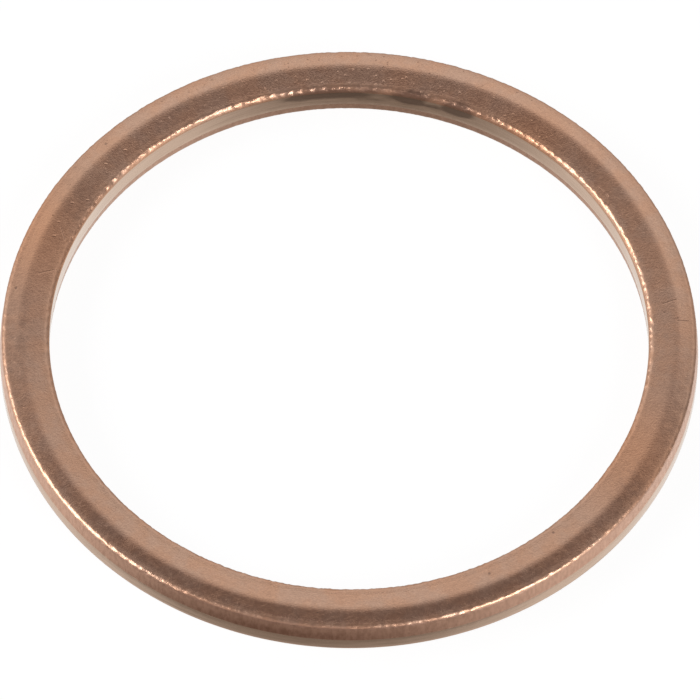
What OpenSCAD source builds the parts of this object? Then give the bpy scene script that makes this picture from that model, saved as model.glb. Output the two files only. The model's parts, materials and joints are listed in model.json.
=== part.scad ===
// Copper sealing ring for a drain plug. One punched and tumbled piece, crowned on its upper face.
// The ring lies on its flat face, centred on the origin, with its bore along Z.

/* [Ring] */
// Diameter of the bore, at its smooth band
bore_d = 22.2; // [12:0.1:50]
// Width of the ring, from the bore to the outer wall
ring_w = 1.85; // [1.5:0.05:4]
// Height from the flat face to the crest
thickness = 1.4; // [1.1:0.05:2.5]

/* [Crowned face] */
// How far the crest stands above both rims
crown_h = 0.06; // [0.02:0.01:0.2]
// Width of the outer slope, from the outer wall to the crest
outer_slope_w = 0.73; // [0.3:0.01:1.1]
// Width of the flat land along the crest
crest_land_w = 0.15; // [0.05:0.01:0.4]

/* [Outer wall] */
// Height of the smooth band, from the flat face up to the torn band
outer_smooth_h = 0.6; // [0.25:0.01:0.8]
// How far the torn band leans inwards on its way up
outer_lean = 0.03; // [0.01:0.01:0.1]

/* [Bore wall] */
// Height of the torn band, from the flat face up to the smooth band
bore_torn_h = 0.36; // [0.15:0.01:0.6]
// How far the torn band opens outwards on its way down
bore_flare = 0.03; // [0.01:0.01:0.1]

/* [Edges] */
// Depth of the small step between a smooth band and its torn band
tear_step = 0.02; // [0.01:0.01:0.05]
// Radius of the edge that the punch rolled over, at the top of the bore
bore_roll_r = 0.26; // [0.05:0.01:0.35]
// Radius of the edge that the die rolled over, at the foot of the outer wall
foot_roll_r = 0.1; // [0.05:0.01:0.2]
// Radius of the tumbled edge at the top of the outer wall
rim_r = 0.22; // [0.05:0.01:0.3]
// Radius of the tumbled edge at the foot of the bore
burr_r = 0.04; // [0.02:0.01:0.08]

/* [Hidden] */
$fn = 240;

bore_r = bore_d / 2;
outer_r = bore_r + ring_w;
rim_z = thickness - crown_h;
crest_outer_r = outer_r - outer_slope_w;
crest_inner_r = crest_outer_r - crest_land_w;
// An edge's arc meets the faces beside it at this angle, so it cuts cleanly through both
meet_angle = 12;
// How far a cutting shape reaches past the surface it cuts
reach = 0.1;

// The section's corners as [radius, height, edge radius], counter-clockwise from the foot of the bore.
// An edge radius of 0 leaves the corner sharp.
corners = [
    [bore_r + tear_step + bore_flare, 0, burr_r],
    [outer_r, 0, foot_roll_r],
    [outer_r, outer_smooth_h, 0],
    [outer_r - tear_step, outer_smooth_h + tear_step, 0],
    [outer_r - tear_step - outer_lean, rim_z, rim_r],
    [crest_outer_r, thickness, 0],
    [crest_inner_r, thickness, 0],
    [bore_r, rim_z, bore_roll_r],
    [bore_r, bore_torn_h, 0],
    [bore_r + tear_step, bore_torn_h - tear_step, 0],
];

function place(i) = let (corner = corners[(i + len(corners)) % len(corners)]) [corner.x, corner.y];
function unit(v) = v / norm(v);

// What an edge's arc takes off corner i: the corner's kite, without the round that stays
module edge_waste(i) {
    corner = place(i);
    back = unit(place(i - 1) - corner);
    ahead = unit(place(i + 1) - corner);
    radius = corners[i].z;
    inset = radius * cos(meet_angle);
    half_angle = acos(back * ahead) / 2;
    centre = corner + unit(back + ahead) * inset / sin(half_angle);
    back_foot = corner + back * inset / tan(half_angle);
    ahead_foot = corner + ahead * inset / tan(half_angle);
    difference() {
        polygon([
            centre,
            back_foot + unit(back_foot - centre) * reach,
            corner + unit(corner - centre) * 2 * reach,
            ahead_foot + unit(ahead_foot - centre) * reach,
        ]);
        translate(centre) circle(r = radius);
    }
}

module section() {
    difference() {
        polygon([for (i = [0 : len(corners) - 1]) place(i)]);
        for (i = [0 : len(corners) - 1])
            if (corners[i].z > 0) edge_waste(i);
    }
}

module sealing_ring() {
    color([0.74, 0.55, 0.45])
        rotate_extrude() section();
}

sealing_ring();
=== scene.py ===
"""A copper sealing ring for a drain plug, on a pale floor in soft light."""

import json
import math

import bpy
from mathutils import Matrix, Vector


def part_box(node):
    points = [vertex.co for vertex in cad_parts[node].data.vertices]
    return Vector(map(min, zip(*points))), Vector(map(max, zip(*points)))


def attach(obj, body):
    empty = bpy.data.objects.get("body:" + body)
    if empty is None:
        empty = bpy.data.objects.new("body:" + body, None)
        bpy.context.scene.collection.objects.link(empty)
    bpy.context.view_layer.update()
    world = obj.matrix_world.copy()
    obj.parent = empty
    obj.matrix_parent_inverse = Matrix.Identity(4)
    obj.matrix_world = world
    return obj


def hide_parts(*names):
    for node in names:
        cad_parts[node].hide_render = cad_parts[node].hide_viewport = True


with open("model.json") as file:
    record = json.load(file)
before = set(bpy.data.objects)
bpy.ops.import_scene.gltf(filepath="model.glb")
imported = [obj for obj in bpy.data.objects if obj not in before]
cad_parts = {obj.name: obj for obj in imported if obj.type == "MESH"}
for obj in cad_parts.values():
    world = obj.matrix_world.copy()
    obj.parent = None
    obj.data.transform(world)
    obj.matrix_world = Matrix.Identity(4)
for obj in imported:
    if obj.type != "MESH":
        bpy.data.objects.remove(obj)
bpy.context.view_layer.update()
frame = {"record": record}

# The ring is shaped in millimetres, and brought to metres when its shape is done
MM = 0.001
RING_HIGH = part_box("sealing_ring")[1] / MM
BORE = next(mount for mount in frame["record"]["mounts"] if mount["name"] == "bore")

# Section of the ring, in millimetres
OUTER_R = RING_HIGH.x
BORE_R = BORE["dims"]["r_mm"]
CREST_Z = RING_HIGH.z
CROWN_H = 0.06
RIM_Z = CREST_Z - CROWN_H
OUTER_SLOPE_W = 0.73
CREST_LAND_W = 0.15
OUTER_SMOOTH_H = 0.6
OUTER_LEAN = 0.03
BORE_TORN_H = 0.36
BORE_FLARE = 0.005
TEAR_STEP = 0.02
# The outer tear's step is drawn out to this height, so that it catches no line of light
OUTER_STEP_H = 0.14
BORE_ROLL_R = 0.24
FOOT_ROLL_R = 0.1
RIM_R = 0.22
BURR_R = 0.04

TORN_OUTER_R = OUTER_R - TEAR_STEP
RIM_OUTER_R = TORN_OUTER_R - OUTER_LEAN
CREST_OUTER_R = OUTER_R - OUTER_SLOPE_W
CREST_INNER_R = CREST_OUTER_R - CREST_LAND_W
TORN_BORE_R = BORE_R + TEAR_STEP
FOOT_BORE_R = TORN_BORE_R + BORE_FLARE

# Steps round the ring and round each edge, and the gap in millimetres that a merge closes
STEPS_ROUND = 1300
ROLLED_EDGE_STEPS = 10
FOOT_STEPS = 5
BURR_STEPS = 3
MERGE_GAP = 1e-4
# Faces that meet at a smaller angle than this, in degrees, are shaded as one surface
SMOOTH_ANGLE = 25

# Wear, as the size of its grain and its depth, in millimetres
FACE_GRAIN = 1.2
FACE_DEPTH = 0.006
NICK_GRAIN = 0.17
NICK_DEPTH = 0.04
# Share of an edge that no nick reaches
NICKS_SPARE = 0.7
# Depth of the rim's nicks, as a share of that on the bore's edge
RIM_NICKS = 0.6
EDGE_REACH = 0.16
TEAR_GRAIN = 0.12
TEAR_DEPTH = 0.016
# What a spared share adds to the grain's contrast and to its brightness
SPARED_CONTRAST = 6
SPARED_BRIGHTNESS = 3.2

# Camera, fitted to both outlines of the ring in the photograph: its angles are in degrees, its
# place in metres, and its sensor and lens in millimetres
CAMERA_ELEVATION = 56.208
CAMERA_ROLL = 0.8965
CAMERA_DISTANCE = 0.55
CAMERA_RIGHT = 0.0000397
CAMERA_UP = 0.0001993
SENSOR_WIDTH = 36.0
FOCAL_LENGTH = 762.2


def deselect_all():
    bpy.ops.object.select_all(action="DESELECT")


def edit(piece):
    deselect_all()
    piece.select_set(True)
    bpy.context.view_layer.objects.active = piece
    bpy.ops.object.mode_set(mode="EDIT")


def arc(centre_r, centre_z, radius, start, end, steps):
    """Points along a round edge of the section, from one angle in degrees to another."""
    angles = [math.radians(start + (end - start) * i / steps) for i in range(steps + 1)]
    return [(centre_r + radius * math.cos(a), centre_z + radius * math.sin(a)) for a in angles]


def between(start, end, steps):
    """Points that cut a straight stretch of the section into equal steps, without its ends."""
    return [
        (start[0] + (end[0] - start[0]) * i / steps, start[1] + (end[1] - start[1]) * i / steps)
        for i in range(1, steps)
    ]


def section():
    """The section's points as (radius, height), from the foot of the bore outwards and round."""
    outer_tilt = math.degrees(math.atan(CROWN_H / (RIM_OUTER_R - CREST_OUTER_R)))
    inner_tilt = math.degrees(math.atan(CROWN_H / (CREST_INNER_R - BORE_R)))
    rim_centre = (RIM_OUTER_R - RIM_R, RIM_Z - RIM_R)
    roll_centre = (BORE_R + BORE_ROLL_R, RIM_Z - BORE_ROLL_R)
    foot = arc(OUTER_R - FOOT_ROLL_R, FOOT_ROLL_R, FOOT_ROLL_R, -90, 0, FOOT_STEPS)
    rim = arc(*rim_centre, RIM_R, 0, 90 - outer_tilt, ROLLED_EDGE_STEPS)
    roll = arc(*roll_centre, BORE_ROLL_R, 90 + inner_tilt, 180, ROLLED_EDGE_STEPS)
    burr = arc(FOOT_BORE_R + BURR_R, BURR_R, BURR_R, 180, 270, BURR_STEPS)
    outer_smooth_top = [(OUTER_R, OUTER_SMOOTH_H)]
    outer_torn_foot = [(TORN_OUTER_R, OUTER_SMOOTH_H + OUTER_STEP_H)]
    crest_outside = [(CREST_OUTER_R, CREST_Z)]
    crest_inside = [(CREST_INNER_R, CREST_Z)]
    bore_smooth_foot = [(BORE_R, BORE_TORN_H)]
    bore_torn_top = [(TORN_BORE_R, BORE_TORN_H - TEAR_STEP)]
    # Each straight stretch, as what comes before it, the steps it is cut into and what follows it
    stretches = [
        (burr, 4, foot),
        (foot, 4, outer_smooth_top),
        (outer_smooth_top, 2, outer_torn_foot),
        (outer_torn_foot, 5, rim),
        (rim, 6, crest_outside),
        (crest_outside, 2, crest_inside),
        (crest_inside, 8, roll),
        (roll, 7, bore_smooth_foot),
        (bore_smooth_foot, 1, bore_torn_top),
        (bore_torn_top, 4, burr),
    ]
    points = []
    for before, steps, after in stretches:
        points += between(before[-1], after[0], steps)
        points += after
    return points


def turned_ring():
    """Draws the section by extruding a point along it, and turns it round the bore's axis."""
    deselect_all()
    bpy.ops.mesh.primitive_plane_add(size=1)
    ring = bpy.context.object
    ring.name = "copper_ring"
    bpy.ops.object.mode_set(mode="EDIT")
    bpy.ops.mesh.select_mode(type="VERT")
    bpy.ops.mesh.select_all(action="SELECT")
    bpy.ops.mesh.merge(type="CENTER")
    points = section()
    bpy.ops.transform.translate(value=(points[-1][0], 0, points[-1][1]))
    for (from_r, from_z), (to_r, to_z) in zip(points[-1:] + points[:-1], points):
        move = (to_r - from_r, 0, to_z - from_z)
        bpy.ops.mesh.extrude_region_move(TRANSFORM_OT_translate={"value": move})
    bpy.ops.mesh.select_all(action="SELECT")
    bpy.ops.mesh.remove_doubles(threshold=MERGE_GAP)
    bpy.ops.object.mode_set(mode="OBJECT")
    turn = ring.modifiers.new("turn", "SCREW")
    turn.angle = 2 * math.pi
    turn.steps = STEPS_ROUND
    turn.render_steps = STEPS_ROUND
    turn.use_merge_vertices = True
    turn.merge_threshold = MERGE_GAP
    bpy.ops.object.modifier_apply(modifier="turn")
    edit(ring)
    bpy.ops.mesh.select_all(action="SELECT")
    bpy.ops.mesh.remove_doubles(threshold=MERGE_GAP)
    bpy.ops.mesh.normals_make_consistent(inside=False)
    bpy.ops.object.mode_set(mode="OBJECT")
    return ring


def group_where(piece, name, weight_at):
    """A vertex group whose weights come from each point's radius and height."""
    group = piece.vertex_groups.new(name=name)
    by_weight = {}
    for vertex in piece.data.vertices:
        weight = round(weight_at(math.hypot(vertex.co.x, vertex.co.y), vertex.co.z), 2)
        if weight > 0:
            by_weight.setdefault(weight, []).append(vertex.index)
    for weight, indices in by_weight.items():
        group.add(indices, weight, "REPLACE")


def fade(distance, reach):
    return max(0.0, 1.0 - distance / reach)


def near_edges(radius, height):
    """How far the nicks go in: full at the middle of the bore's edge, less at that of the rim."""
    rim = (RIM_OUTER_R - RIM_R / 4, RIM_Z - RIM_R / 4)
    roll = (BORE_R + BORE_ROLL_R / 4, RIM_Z - BORE_ROLL_R / 4)
    rim_share = RIM_NICKS * fade(math.hypot(radius - rim[0], height - rim[1]), EDGE_REACH)
    return max(rim_share, fade(math.hypot(radius - roll[0], height - roll[1]), EDGE_REACH))


def on_torn_bands(radius, height):
    """1 on the torn bands of both walls."""
    outer = radius > CREST_OUTER_R and OUTER_SMOOTH_H < height < RIM_Z - RIM_R / 2
    inner = radius < CREST_INNER_R and 0 < height < BORE_TORN_H
    return 1.0 if outer or inner else 0.0


def wear(piece, name, grain, depth, group="", spared=0.5):
    """Presses an uneven grain of the given size and depth, in millimetres, into the surface.

    The spared share of the surface, from 0.5 up, is left as it was.
    """
    texture = bpy.data.textures.new(name, "CLOUDS")
    texture.noise_scale = grain
    texture.noise_depth = 2
    texture.contrast = 1 + SPARED_CONTRAST * (spared - 0.5)
    texture.intensity = 1 + SPARED_BRIGHTNESS * (spared - 0.5)
    dents = piece.modifiers.new(name, "DISPLACE")
    dents.texture = texture
    dents.texture_coords = "LOCAL"
    dents.strength = depth
    dents.mid_level = 1.0
    dents.vertex_group = group
    bpy.ops.object.modifier_apply(modifier=name)


def worn_ring(ring):
    """Gives the faces their unevenness, the edges their nicks and the torn bands their grain."""
    group_where(ring, "edges", near_edges)
    group_where(ring, "torn", on_torn_bands)
    wear(ring, "tumbled_faces", FACE_GRAIN, FACE_DEPTH)
    wear(ring, "nicked_edges", NICK_GRAIN, NICK_DEPTH, group="edges", spared=NICKS_SPARE)
    wear(ring, "torn_bands", TEAR_GRAIN, TEAR_DEPTH, group="torn")
    ring.vertex_groups.clear()


def to_metres(piece):
    edit(piece)
    bpy.ops.mesh.select_all(action="SELECT")
    bpy.ops.transform.resize(value=(MM, MM, MM), center_override=(0, 0, 0))
    bpy.ops.object.mode_set(mode="OBJECT")
    bpy.ops.object.shade_smooth_by_angle(angle=math.radians(SMOOTH_ANGLE))


def place_camera():
    data = bpy.data.cameras.new("camera")
    camera = bpy.data.objects.new("camera", data)
    bpy.context.scene.collection.objects.link(camera)
    tilt = Matrix.Rotation(math.radians(90 - CAMERA_ELEVATION), 4, "X")
    roll = Matrix.Rotation(math.radians(CAMERA_ROLL), 4, "Z")
    place = Matrix.Translation((CAMERA_RIGHT, CAMERA_UP, CAMERA_DISTANCE))
    camera.matrix_world = tilt @ roll @ place
    data.sensor_width = SENSOR_WIDTH
    data.lens = FOCAL_LENGTH
    data.clip_start = 0.01
    data.clip_end = 10
    bpy.context.scene.camera = camera


def add(tree, kind, **settings):
    """Adds a shader node. Inputs go by name or number, and each takes a value or a socket."""
    node = tree.nodes.new(kind)
    for name, value in settings.pop("inputs", {}).items():
        if isinstance(value, bpy.types.NodeSocket):
            tree.links.new(value, node.inputs[name])
        else:
            node.inputs[name].default_value = value
    for name, value in settings.items():
        setattr(node, name, value)
    return node


def smooth_step(tree, value, low, high, to_low=0.0, to_high=1.0):
    """A smooth change from one level to another as the value crosses a range."""
    node = add(
        tree, "ShaderNodeMapRange", interpolation_type="SMOOTHSTEP",
        inputs={0: value, 1: low, 2: high, 3: to_low, 4: to_high},
    )
    return node.outputs[0]


def calculate(tree, operation, first, second=0.0):
    return add(tree, "ShaderNodeMath", operation=operation, inputs={0: first, 1: second}).outputs[0]


def calculate_vector(tree, operation, first, second=(0, 0, 0)):
    """A vector, or the number that a length, a distance or a dot product gives."""
    node = add(tree, "ShaderNodeVectorMath", operation=operation, inputs={0: first, 1: second})
    gives_number = operation in ("LENGTH", "DISTANCE", "DOT_PRODUCT")
    return node.outputs["Value" if gives_number else "Vector"]


def scale_vector(tree, vector, factor):
    node = add(tree, "ShaderNodeVectorMath", operation="SCALE", inputs={0: vector, 3: factor})
    return node.outputs["Vector"]


def scaled_sum(tree, terms):
    """Adds up (value, factor) pairs."""
    total = 0.0
    for value, factor in terms:
        part = calculate(tree, "MULTIPLY", value, factor)
        total = calculate(tree, "ADD", part, total)
    return total


def blend(tree, amount, first, second):
    """Mixes two colours, each given as linear red, green and blue or as a socket."""
    node = add(tree, "ShaderNodeMix", data_type="RGBA", inputs={0: amount})
    for place, colour in ((6, first), (7, second)):
        if isinstance(colour, bpy.types.NodeSocket):
            tree.links.new(colour, node.inputs[place])
        else:
            node.inputs[place].default_value = (*colour, 1)
    return node.outputs[2]


def mix_shaders(tree, amount, first, second):
    return add(
        tree, "ShaderNodeMixShader",
        inputs={0: amount, 1: first.outputs[0], 2: second.outputs[0]},
    )


def millimetres(tree):
    """A point's place on the ring, in millimetres."""
    return scale_vector(tree, add(tree, "ShaderNodeTexCoord").outputs["Object"], 1 / MM)


def place_seen_from_above(tree):
    return calculate_vector(tree, "MULTIPLY", millimetres(tree), (1, 1, 0))


def distance_from_axis(tree):
    return calculate_vector(tree, "LENGTH", place_seen_from_above(tree))


def height_above_floor(tree):
    return add(tree, "ShaderNodeSeparateXYZ", inputs={0: millimetres(tree)}).outputs[2]


def round_the_bore(tree, around, upwards):
    """Coordinates that follow the ring: grains per turn, and per millimetre upwards."""
    heading = calculate_vector(tree, "NORMALIZE", place_seen_from_above(tree))
    turned = scale_vector(tree, heading, around / (2 * math.pi))
    lift = calculate(tree, "MULTIPLY", height_above_floor(tree), upwards)
    rise = add(tree, "ShaderNodeCombineXYZ", inputs={2: lift}).outputs[0]
    return calculate_vector(tree, "ADD", turned, rise)


def soft_patch(tree, centre, reach):
    """1 at a place in millimetres, which fades to 0 at the reach given along each axis."""
    away = calculate_vector(tree, "SUBTRACT", millimetres(tree), centre)
    share = calculate_vector(tree, "DIVIDE", away, reach)
    return smooth_step(tree, calculate_vector(tree, "LENGTH", share), 0.0, 1.0, 1.0, 0.0)


def scratch(tree, start, end, width):
    """1 along a straight scratch across the upper face, between two places in millimetres."""
    run = (end[0] - start[0], end[1] - start[1], 0)
    length = math.hypot(run[0], run[1])
    along = (run[0] / length, run[1] / length, 0)
    away = calculate_vector(tree, "SUBTRACT", place_seen_from_above(tree), (start[0], start[1], 0))
    travelled = calculate_vector(tree, "DOT_PRODUCT", away, along)
    kept = add(tree, "ShaderNodeClamp", inputs={0: travelled, 1: 0.0, 2: length}).outputs[0]
    gap = calculate_vector(tree, "DISTANCE", away, scale_vector(tree, along, kept))
    return smooth_step(tree, gap, width * 0.3, width, 1.0, 0.0)


def grain(tree, place, scale, detail=2.0, roughness=0.5, distortion=0.0):
    node = add(
        tree, "ShaderNodeTexNoise",
        inputs={
            "Vector": place, "Scale": scale, "Detail": detail,
            "Roughness": roughness, "Distortion": distortion,
        },
    )
    return node.outputs[0]


def grain_in_place(tree, scale, detail=2.0, roughness=0.5):
    """A grain with so many cells to the millimetre."""
    return grain(tree, millimetres(tree), scale, detail, roughness)


def grain_round(tree, around, upwards, detail=2.0, roughness=0.5):
    """A grain that follows the ring, with so many cells to a turn and to a millimetre upwards."""
    return grain(tree, round_the_bore(tree, around, upwards), 1.0, detail, roughness)


def hairlines(tree, angle, scale, width):
    """Fine long scratches that lie near one direction, as thin level lines of a stretched grain."""
    stretched = add(
        tree, "ShaderNodeMapping",
        vector_type="TEXTURE",
        inputs={
            "Vector": millimetres(tree),
            "Rotation": (0, 0, math.radians(angle)),
            "Scale": HAIRLINE_STRETCH,
        },
    ).outputs[0]
    level = grain(tree, stretched, scale, detail=1.5, distortion=0.4)
    ridge = calculate(tree, "ABSOLUTE", calculate(tree, "SUBTRACT", level, 0.5))
    line = smooth_step(tree, ridge, 0.0, width, 1.0, 0.0)
    broken = smooth_step(tree, grain_in_place(tree, 1.7 + angle / 200), 0.45, 0.6)
    return calculate(tree, "MULTIPLY", line, broken)


def pits(tree, scale, size):
    """Small round pits, scattered at random."""
    cells = add(
        tree, "ShaderNodeTexVoronoi", feature="F1",
        inputs={"Vector": millimetres(tree), "Scale": scale, "Randomness": 1.0},
    )
    dot = smooth_step(tree, cells.outputs["Distance"], size * 0.4, size, 1.0, 0.0)
    lot = add(tree, "ShaderNodeSeparateColor", inputs={0: cells.outputs["Color"]}).outputs[0]
    return calculate(tree, "MULTIPLY", dot, smooth_step(tree, lot, *PIT_LOT))


def metal(name, colour, roughness, height, depth, low_angle_tint=(1, 1, 1)):
    """A finish of bare copper, from its colour, roughness and relief; the depth is in metres.

    The tint is what a reflection keeps of its light where the metal is seen from low down.
    """
    material = bpy.data.materials.new(name)
    material.use_nodes = True
    tree = material.node_tree
    shader = tree.nodes["Principled BSDF"]
    shader.inputs["Metallic"].default_value = 1
    shader.inputs["Specular Tint"].default_value = (*low_angle_tint, 1)
    tree.links.new(colour(tree), shader.inputs["Base Color"])
    tree.links.new(roughness(tree), shader.inputs["Roughness"])
    relief = add(
        tree, "ShaderNodeBump",
        inputs={"Strength": 1.0, "Distance": depth, "Height": height(tree)},
    )
    tree.links.new(relief.outputs[0], shader.inputs["Normal"])
    return material


# Colours, as linear red, green and blue
COPPER = (0.80, 0.515, 0.37)
COPPER_WARM = (0.87, 0.475, 0.29)
# Dull copper for pits, scratches and dull patches, and also for the painted dark reflections on the
# bore's edge
DULL_COPPER_AND_REFLECTION = (0.42, 0.26, 0.19)
SHEARED_COPPER = (0.75, 0.58, 0.465)
TORN_COPPER = (0.83, 0.54, 0.405)
# Dark torn copper for the streaks, and also for the painted shade on the front of the outer wall
TORN_DARK_AND_SHADE = (0.38, 0.21, 0.145)
# A dark tone for fine lines and the bore's torn band, and also for the painted dark reflections
DARK_TONE_AND_REFLECTION = (0.34, 0.25, 0.20)
# Tumbling leaves the faces slightly matt, so that they don't turn into a mirror at a low angle
LOW_ANGLE_TINT = (0.50, 0.44, 0.40)

# Depth of each finish's finest relief, in metres
TUMBLED_RELIEF = 3.6e-6
BURNISHED_RELIEF = 2.5e-6
TORN_RELIEF = 6e-6
# Where an edge's matt finish is full and where it ends, in radii of that edge
MATT_FULL = 0.6
MATT_END = 1.6
# How far the hairlines are drawn out along their direction and squeezed across it
HAIRLINE_STRETCH = (2.6, 0.4, 1)
# A cell's random number up to which it holds no pit, and from which its pit is full
PIT_LOT = (0.88, 0.9)

# Marks on the ring, in millimetres. A patch has its centre and its reach along each axis.
WARM_PATCHES = [
    ((-11.6, 4.5, 1.4), (3.5, 5.5, 3)),
    ((10.6, -5.2, 1.4), (3.5, 4.5, 3)),
    ((6.5, 9.0, 1.4), (3, 2.5, 3)),
]
DULL_PATCHES = [
    ((12.3, -3.6, 1.38), (1.5, 4.5, 2)),
    ((10.5, -7.0, 1.38), (1.6, 2.2, 2)),
    ((-12.3, -0.6, 1.38), (1.4, 5.0, 2)),
    ((-10.1, 5.6, 1.38), (1.4, 2.6, 2)),
]
# The larger pits, with their radius
PITS = [
    ((-9.20, 8.41, 1.38), 0.1),
    ((12.17, 0.95, 1.38), 0.06),
    ((11.68, 1.2, 1.38), 0.06),
    ((-1.0, -12.27, 1.38), 0.05),
]
PIT_DEPTH_REACH = 0.2
# The part of the upper face that other rings struck most
HAMMERED = ((0.0, 11.2, 1.3), (14.0, 9.0, 4.0))
# Short scratches across the upper face, from end to end
SCRATCHES = [
    ((-11.56, 2.53), (-10.93, 2.74)),
    ((-10.79, 4.63), (-10.62, 4.05)),
    ((11.62, 1.60), (12.10, 1.78)),
    ((12.14, 0.85), (12.55, 0.85)),
    ((9.25, 6.85), (9.40, 6.66)),
    ((9.50, 6.52), (9.56, 6.40)),
]
SCRATCH_WIDTH = 0.036
# Painted shade over the front stretch of the outer wall
PAINTED_FRONT_SHADE = ((-2.7, -12.65, 0.9), (9.0, 7.0, 6.0))
# Bright specks where a blow left a small facet
SPECKS = [
    (-10.88, 4.85),
    (-11.03, 4.23),
    (-11.10, 5.16),
    (-10.39, 5.72),
    (-9.82, 5.88),
    (-8.47, 8.15),
    (-9.18, 7.50),
    (-11.18, 0.94),
]
SPECK_HEIGHT = 1.37
SPECK_REACH = (0.09, 0.05, 0.3)
# Painted dark reflections under the edge of the bore, on its far side, with their strength
DARK_REFLECTION_PATCHES = [
    ((-1.0, 11.1, 1.0), (3.8, 0.9, 0.5), 1.0),
    ((0.75, 11.12, 1.15), (1.1, 0.25, 0.3), 0.7),
    ((2.1, 10.9, 1.05), (1.3, 0.6, 0.7), 1.1),
    ((3.9, 10.4, 1.02), (1.3, 0.7, 0.65), 1.1),
    ((1.6, 11.0, 0.95), (5.6, 2.4, 0.6), 0.5),
]


def near_an_edge(tree):
    """1 on the two rounded edges of the upper face, which tumbling peened."""
    radius = distance_from_axis(tree)
    rim = smooth_step(tree, radius, RIM_OUTER_R - MATT_END * RIM_R, RIM_OUTER_R - MATT_FULL * RIM_R)
    roll_full = BORE_R + MATT_FULL * BORE_ROLL_R
    roll_end = BORE_R + MATT_END * BORE_ROLL_R
    roll = smooth_step(tree, radius, roll_full, roll_end, 1.0, 0.0)
    return calculate(tree, "MAXIMUM", rim, roll)


def pitted(tree):
    total = pits(tree, 1.7, 0.13)
    for centre, radius in PITS:
        reach = (radius, radius, PIT_DEPTH_REACH)
        total = calculate(tree, "MAXIMUM", total, soft_patch(tree, centre, reach))
    return total


def scratched(tree):
    total = 0.0
    for start, end in SCRATCHES:
        total = calculate(tree, "MAXIMUM", total, scratch(tree, start, end, SCRATCH_WIDTH))
    return total


def specked(tree):
    """1 on the small facets that blows left, both the listed ones and scattered ones."""
    total = calculate(tree, "MULTIPLY", pits(tree, 7.0, 0.36), soft_patch(tree, *HAMMERED))
    for x, y in SPECKS:
        speck = soft_patch(tree, (x, y, SPECK_HEIGHT), SPECK_REACH)
        total = calculate(tree, "MAXIMUM", total, speck)
    return total


def painted_dark_reflections(tree):
    """How far the bore's painted dark reflections cover the metal."""
    reflected_dark = 0.0
    for centre, reach, strength in DARK_REFLECTION_PATCHES:
        patch = calculate(tree, "MULTIPLY", soft_patch(tree, centre, reach), strength)
        reflected_dark = calculate(tree, "MAXIMUM", reflected_dark, patch)
    uneven = grain_round(tree, 60, 3.0, 3.0, 0.6)
    return smooth_step(tree, scaled_sum(tree, [(reflected_dark, 1.0), (uneven, 0.9)]), 0.6, 1.15)


def tumbled_finish():
    """The crowned face, the edges and the flat face: satin and mottled, with pits and scratches."""
    def colour(tree):
        warm = smooth_step(tree, grain_in_place(tree, 0.9, 3.0, 0.6), 0.35, 0.65, 0.0, 0.5)
        for centre, reach in WARM_PATCHES:
            warm = calculate(tree, "MAXIMUM", warm, soft_patch(tree, centre, reach))
        ground = blend(tree, warm, COPPER, COPPER_WARM)
        dulled = 0.0
        for centre, reach in DULL_PATCHES:
            dulled = calculate(tree, "MAXIMUM", dulled, soft_patch(tree, centre, reach))
        mottle = smooth_step(tree, grain_in_place(tree, 14.0, 3.0, 0.6), 0.3, 0.7, 0.0, 0.22)
        uneven = smooth_step(tree, grain_in_place(tree, 3.2, 4.0, 0.65), 0.35, 0.65, 0.03, 0.42)
        soil_and_painted_light = scaled_sum(tree, [
            (pitted(tree), 0.75),
            (scratched(tree), 0.25),
            (mottle, 1.0),
            (calculate(tree, "MULTIPLY", dulled, uneven), 1.0),
            # Painted dark reflections from the bore reach onto its rolled edge
            (painted_dark_reflections(tree), 0.9),
        ])
        return blend(tree, soil_and_painted_light, ground, DULL_COPPER_AND_REFLECTION)

    def roughness(tree):
        satin = smooth_step(tree, grain_in_place(tree, 6.0, 3.0), 0.3, 0.7, 0.19, 0.27)
        return scaled_sum(tree, [(satin, 1.0), (near_an_edge(tree), 0.13)])

    def height(tree):
        hammered_grain = grain_in_place(tree, 15.0, 3.0, 0.7)
        hammered = calculate(tree, "MULTIPLY", soft_patch(tree, *HAMMERED), hammered_grain)
        peened = calculate(tree, "MULTIPLY", near_an_edge(tree), grain_in_place(tree, 9.0))
        return scaled_sum(tree, [
            (grain_in_place(tree, 15.0), 1.0),
            (peened, 1.7),
            (hammered, 1.3),
            (specked(tree), 2.6),
            (grain_in_place(tree, 3.0), 0.5),
            (hairlines(tree, 20, 2.6, 0.012), -0.25),
            (hairlines(tree, 80, 2.2, 0.012), -0.25),
            (hairlines(tree, 140, 3.1, 0.012), -0.25),
            (scratched(tree), -2.0),
            (pitted(tree), -0.8),
        ])

    return metal("tumbled_copper", colour, roughness, height, TUMBLED_RELIEF, LOW_ANGLE_TINT)


def burnished_finish():
    """The bands that punch and die rubbed smooth: fine lines round the ring, and painted dark
    reflections.
    """
    def colour(tree):
        streak = smooth_step(tree, grain_round(tree, 40, 11.0, 3.0, 0.6), 0.45, 0.7)
        # Painted dark reflections, with real fine lines round the ring
        soil_and_painted_light = scaled_sum(tree, [(painted_dark_reflections(tree), 1.0), (streak, 0.22)])
        return blend(tree, soil_and_painted_light, SHEARED_COPPER, DARK_TONE_AND_REFLECTION)

    def roughness(tree):
        return smooth_step(tree, grain_round(tree, 60, 9.0, 3.0), 0.3, 0.7, 0.16, 0.26)

    def height(tree):
        return scaled_sum(tree, [
            (grain_round(tree, 40, 14.0, 3.0, 0.6), 0.8),
            (grain_in_place(tree, 7.0, 3.0), 0.3),
        ])

    return metal("burnished_copper", colour, roughness, height, BURNISHED_RELIEF)


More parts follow.
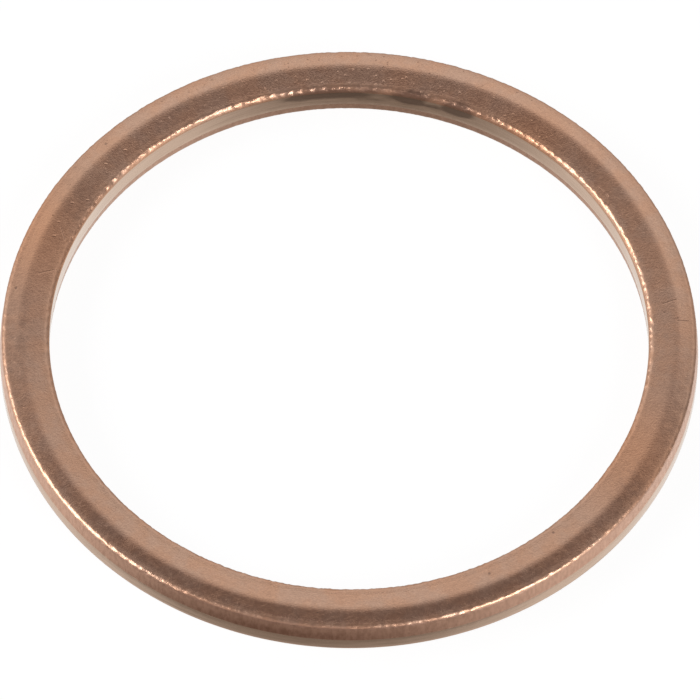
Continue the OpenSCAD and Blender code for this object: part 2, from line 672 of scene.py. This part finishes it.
def torn_finish():
    """The bands where the blank tore off: reddish and rough, with painted shade on the front that
    is darkest just above the smooth band.
    """
    def colour(tree):
        streak = smooth_step(tree, grain_round(tree, 620, 3.0), 0.3, 0.75)
        low = OUTER_SMOOTH_H + 0.1
        high = OUTER_SMOOTH_H + 0.55
        towards_foot = smooth_step(tree, height_above_floor(tree), low, high, 1.0, 0.45)
        # Painted shade: the front stretch of the outer wall darkens, most just above the smooth
        # band
        front_shade = calculate(tree, "MULTIPLY", towards_foot, soft_patch(tree, *PAINTED_FRONT_SHADE))
        soil_and_painted_light = scaled_sum(tree, [(streak, 0.3), (front_shade, 0.8)])
        torn_colour_and_shade = blend(tree, soil_and_painted_light, TORN_COPPER, TORN_DARK_AND_SHADE)
        radius = distance_from_axis(tree)
        in_bore = smooth_step(tree, radius, CREST_INNER_R, CREST_OUTER_R, 0.32, 0.0)
        return blend(tree, in_bore, torn_colour_and_shade, DARK_TONE_AND_REFLECTION)

    def roughness(tree):
        return smooth_step(tree, grain_in_place(tree, 8.0, 3.0), 0.3, 0.7, 0.34, 0.46)

    def height(tree):
        return scaled_sum(tree, [
            (grain_round(tree, 700, 3.0, 3.0, 0.6), 0.7),
            (grain_in_place(tree, 12.0, 3.0), 0.8),
        ])

    return metal("torn_copper", colour, roughness, height, TORN_RELIEF)


def is_burnished(radius, height):
    """Whether a place is on the smooth band of either wall, with room for what wear has moved."""
    outer = radius > OUTER_R - TEAR_STEP / 2 - FACE_DEPTH and FOOT_ROLL_R < height < OUTER_SMOOTH_H
    inner = radius < CREST_INNER_R and BORE_TORN_H < height < RIM_Z - BORE_ROLL_R
    return outer or inner


def paint_bands(piece, bands):
    """Gives each band of faces its finish; faces that no band claims keep the first one."""
    for slot, (finish, claims) in enumerate(bands):
        piece.data.materials.append(finish)
        if claims is None:
            continue
        for face in piece.data.polygons:
            if claims(math.hypot(face.center.x, face.center.y), face.center.z):
                face.material_index = slot


# Radiance of the wall behind the ring, by elevation in degrees
STUDIO_WALL = [
    (5, (0.58, 0.56, 0.56)),
    (30, (0.64, 0.62, 0.62)),
    (42, (0.78, 0.77, 0.77)),
    (49, (0.67, 0.66, 0.66)),
    (54, (0.50, 0.48, 0.48)),
    (58.5, (0.26, 0.23, 0.23)),
    (65, (0.16, 0.137, 0.138)),
    (75, (0.17, 0.15, 0.15)),
]
WALL_LEAN = 0.02
# Radiance of the dim side that the camera stands on, by elevation
FRONT_WALL = [
    (5, (0.32, 0.28, 0.27)),
    (30, (0.38, 0.33, 0.32)),
    (40, (0.34, 0.30, 0.29)),
    (48, (0.24, 0.21, 0.21)),
    (62, (0.18, 0.155, 0.155)),
    (78, (0.17, 0.15, 0.15)),
]
# Where the wall dims: heading in degrees, how far that way it starts and ends, and what is left
DIM_SIDES = [
    (0, 0.3, 0.8, 0.72),
    (-20, 0.5, 0.75, 0.6),
]
# Pale glows under the lamps: azimuth and elevation in degrees, and radiance
GLOWS = [
    (-34, 0, (0.98, 0.95, 0.93)),
    (181, -6, (0.86, 0.83, 0.81)),
]
# Cosines of the angles from a glow's middle at which it starts and at which it is full
GLOW_EDGE = (0.788, 0.966)
# Radiance of the ground, away from and towards the light, and the heading that it brightens towards
GROUND_DARK = (0.25, 0.21, 0.18)
GROUND_PALE = (0.77, 0.71, 0.66)
GROUND_BRIGHT = (0.94, 0.94, 0.93)
GROUND_HEADING = 78
# How far towards that heading the ground starts to be pale, is pale, and is bright
GROUND_STEPS = (-0.62, 0.03, 0.5)
# Sines of the elevations at which the ground ends and the room starts
GROUND_END = (-0.68, -0.4)
# How far back the dim front ends and the wall starts
FRONT_END = (-0.2, 0.2)

# Lamps: azimuth and elevation in degrees, distance, width and height in metres, and level
LAMPS = [
    ("left_softbox", 184, 33, 0.5, 0.42, 0.19, 4.8),
    ("right_softbox", -42, 34, 0.5, 0.2, 0.2, 6.6),
]

FLOOR_WIDTH = 6
# The floor that the camera sees: nearly white of itself, with a faint share that takes light
FLOOR_WHITE = 0.93
FLOOR_FAINT = (0.1, 0.1, 0.1, 1)
# The floor that throws light back at the ring
FLOOR_MATT = (0.8, 0.8, 0.8, 1)


def by_elevation(tree, rising, levels):
    """A colour for each elevation; rising is the sine of the elevation."""
    ramp = add(tree, "ShaderNodeValToRGB", inputs={0: rising})
    stops = ramp.color_ramp.elements
    stops.remove(stops[0])
    for place, (elevation, colour) in enumerate(levels):
        stop = stops[0] if place == 0 else stops.new(math.sin(math.radians(elevation)))
        stop.position = math.sin(math.radians(elevation))
        stop.color = (*colour, 1)
    return ramp.outputs[0]


def along_heading(tree, right, back, heading):
    """How far a direction goes towards a heading in degrees, from the right round to the back."""
    heading = math.radians(heading)
    return scaled_sum(tree, [(right, math.cos(heading)), (back, math.sin(heading))])


def studio_room(tree):
    """A pale wall that darkens upwards, a dim front and right side, glows and a pale ground."""
    direction = add(tree, "ShaderNodeTexCoord").outputs["Generated"]
    right, back, up = add(tree, "ShaderNodeSeparateXYZ", inputs={0: direction}).outputs
    wall = by_elevation(tree, scaled_sum(tree, [(up, 1.0), (right, -WALL_LEAN)]), STUDIO_WALL)
    for heading, start, end, share in DIM_SIDES:
        aside = along_heading(tree, right, back, heading)
        wall = blend(tree, smooth_step(tree, aside, start, end, 0.0, 1 - share), wall, (0, 0, 0))
    front = by_elevation(tree, up, FRONT_WALL)
    room = blend(tree, smooth_step(tree, back, *FRONT_END), front, wall)
    for azimuth, elevation, colour in GLOWS:
        azimuth = math.radians(azimuth)
        elevation = math.radians(elevation)
        near = scaled_sum(tree, [
            (right, math.cos(elevation) * math.cos(azimuth)),
            (back, math.cos(elevation) * math.sin(azimuth)),
            (up, math.sin(elevation)),
        ])
        room = blend(tree, smooth_step(tree, near, *GLOW_EDGE), room, colour)
    towards = along_heading(tree, right, back, GROUND_HEADING)
    dark_end, pale, bright = GROUND_STEPS
    ground = blend(tree, smooth_step(tree, towards, dark_end, pale), GROUND_DARK, GROUND_PALE)
    ground = blend(tree, smooth_step(tree, towards, pale, bright), ground, GROUND_BRIGHT)
    return blend(tree, smooth_step(tree, up, *GROUND_END), ground, room)


def light_studio():
    """Lights the ring by the studio's room, and shows the camera a white backdrop in its place."""
    world = bpy.data.worlds.new("studio")
    bpy.context.scene.world = world
    world.use_nodes = True
    tree = world.node_tree
    tree.nodes.clear()
    room = add(tree, "ShaderNodeBackground", inputs={"Color": studio_room(tree), "Strength": 1})
    backdrop = add(tree, "ShaderNodeBackground", inputs={"Color": (1, 1, 1, 1), "Strength": 1})
    seen = add(tree, "ShaderNodeLightPath").outputs["Is Camera Ray"]
    mixed = mix_shaders(tree, seen, room, backdrop)
    add(tree, "ShaderNodeOutputWorld", inputs={"Surface": mixed.outputs[0]})
    bpy.context.scene.view_settings.view_transform = "Standard"


def softbox(name, azimuth, elevation, distance, width, height, level):
    """A soft lamp that faces the ring, with its radiance given by its level."""
    data = bpy.data.lights.new(name, "AREA")
    data.shape = "RECTANGLE"
    data.size = width
    data.size_y = height
    data.energy = level * math.pi * width * height
    lamp = bpy.data.objects.new(name, data)
    bpy.context.scene.collection.objects.link(lamp)
    turn = Matrix.Rotation(math.radians(azimuth + 90), 4, "Z")
    tilt = Matrix.Rotation(math.radians(90 - elevation), 4, "X")
    lamp.matrix_world = turn @ tilt @ Matrix.Translation((0, 0, distance))


def pale_floor():
    """A floor that the camera sees as white paper, and that the ring's metal doesn't mirror."""
    deselect_all()
    bpy.ops.mesh.primitive_plane_add(size=FLOOR_WIDTH)
    floor = bpy.context.object
    floor.name = "floor"
    edit(floor)
    bpy.ops.mesh.subdivide(number_cuts=3)
    bpy.ops.object.mode_set(mode="OBJECT")
    material = bpy.data.materials.new("pale_floor")
    material.use_nodes = True
    tree = material.node_tree
    tree.nodes.clear()
    matt = add(tree, "ShaderNodeBsdfDiffuse", inputs={"Color": FLOOR_MATT})
    clear = add(tree, "ShaderNodeBsdfTransparent")
    faint = add(tree, "ShaderNodeBsdfDiffuse", inputs={"Color": FLOOR_FAINT})
    white = add(
        tree, "ShaderNodeEmission",
        inputs={"Color": (1, 1, 1, 1), "Strength": FLOOR_WHITE},
    )
    shown = add(tree, "ShaderNodeAddShader", inputs={0: faint.outputs[0], 1: white.outputs[0]})
    ray = add(tree, "ShaderNodeLightPath").outputs
    mirrored = calculate(tree, "MAXIMUM", ray["Is Glossy Ray"], ray["Is Shadow Ray"])
    out_of_view = mix_shaders(tree, mirrored, matt, clear)
    mixed = mix_shaders(tree, ray["Is Camera Ray"], out_of_view, shown)
    add(tree, "ShaderNodeOutputMaterial", inputs={"Surface": mixed.outputs[0]})
    floor.data.materials.append(material)


ring = turned_ring()
worn_ring(ring)
ring.data.materials.clear()
paint_bands(ring, [
    (tumbled_finish(), None),
    (torn_finish(), on_torn_bands),
    (burnished_finish(), is_burnished),
])
to_metres(ring)
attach(ring, "root")
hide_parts("sealing_ring")
place_camera()
light_studio()
for lamp in LAMPS:
    softbox(*lamp)
pale_floor()
